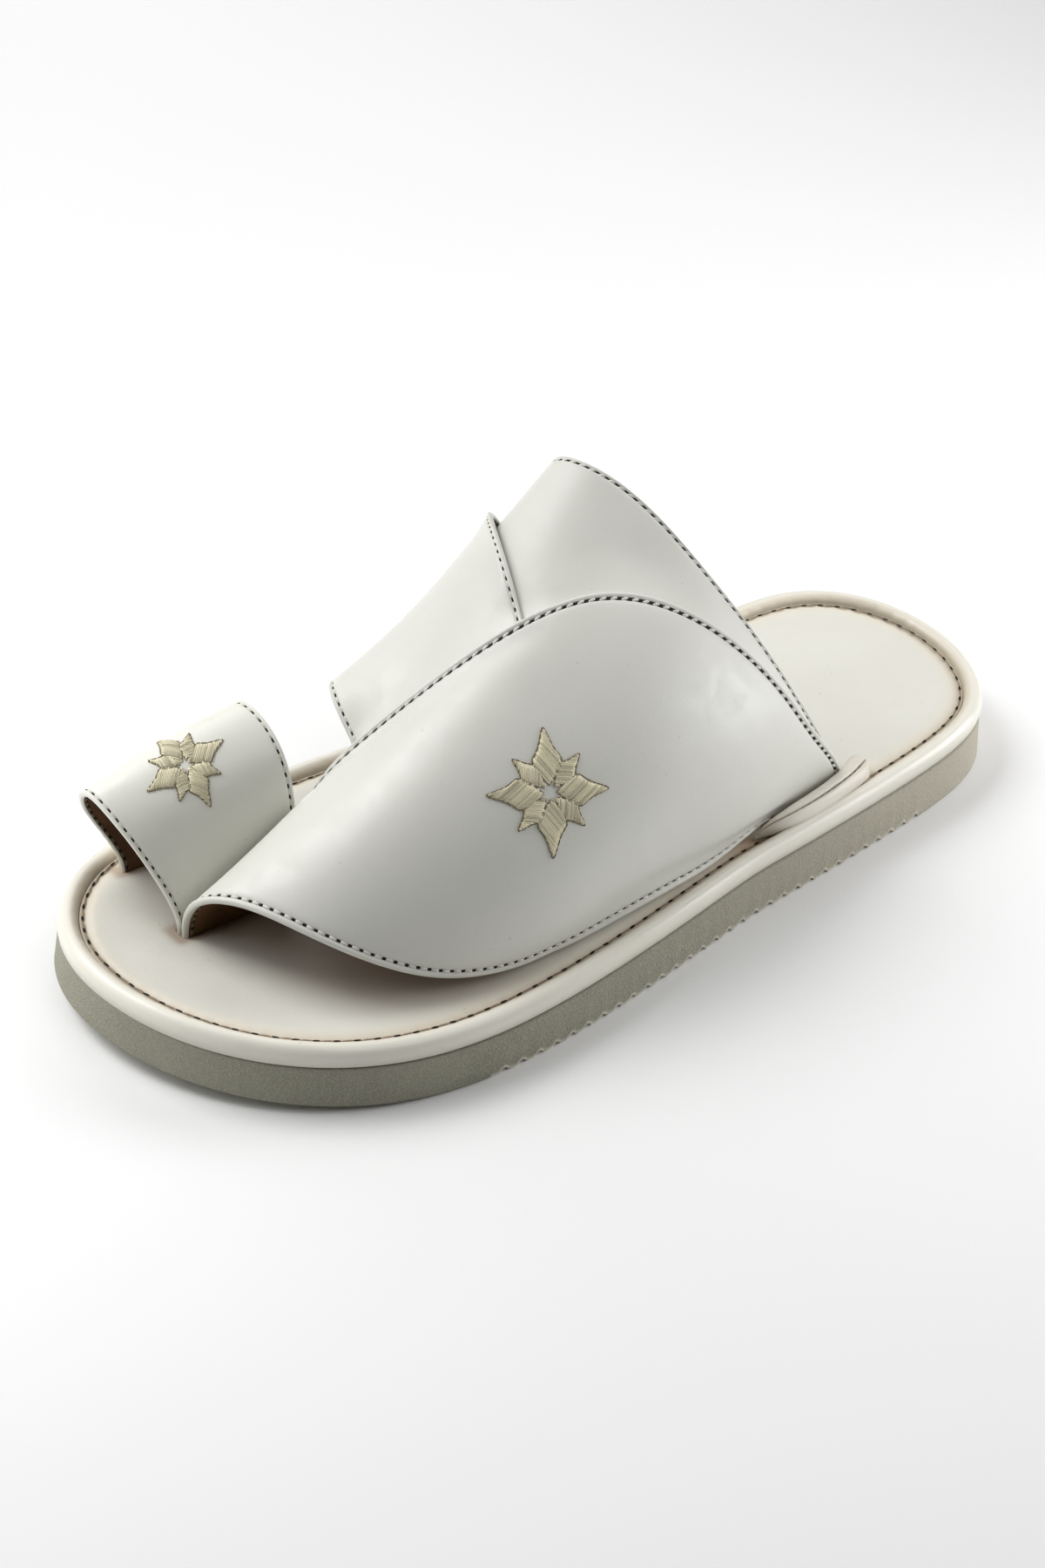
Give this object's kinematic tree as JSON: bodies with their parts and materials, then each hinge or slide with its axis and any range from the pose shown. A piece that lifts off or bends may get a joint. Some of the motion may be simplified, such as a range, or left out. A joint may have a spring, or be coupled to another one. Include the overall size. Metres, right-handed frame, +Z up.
{
  "type": "arabic sandal",
  "caption": "Left men's toe-loop sandal: crossing leather straps with a big-toe ring, held by two side keepers on a padded leather footbed over a rippled rubber outsole.",
  "frame": {"origin": "on the ground under the middle of the outsole's length and width", "axes": "+X from heel to toe, +Y to the outer (little-toe) side of the foot, +Z up"},
  "size_m": [0.2873, 0.12, 0.1045],
  "materials": {
    "outsole_rubber": "matt microcellular rubber with a fine grain",
    "rim_leather": "glossy coated cream leather",
    "footbed_leather": "smooth satin cream leather",
    "keeper_leather": "smooth satin off-white leather",
    "strap_leather": "smooth off-white leather with a low sheen",
    "lining_leather": "tan lining leather",
    "stitch_thread": "waxed sewing thread",
    "embroidery_thread": "satin-stitch thread with a soft sheen"
  },
  "bodies": {
    "root": {"outsole": "outsole_rubber", "midsole": "rim_leather", "insole": "footbed_leather", "keeper_lateral": "keeper_leather", "keeper_medial": "keeper_leather", "upper": "strap_leather"}
  },
  "joints": []
}
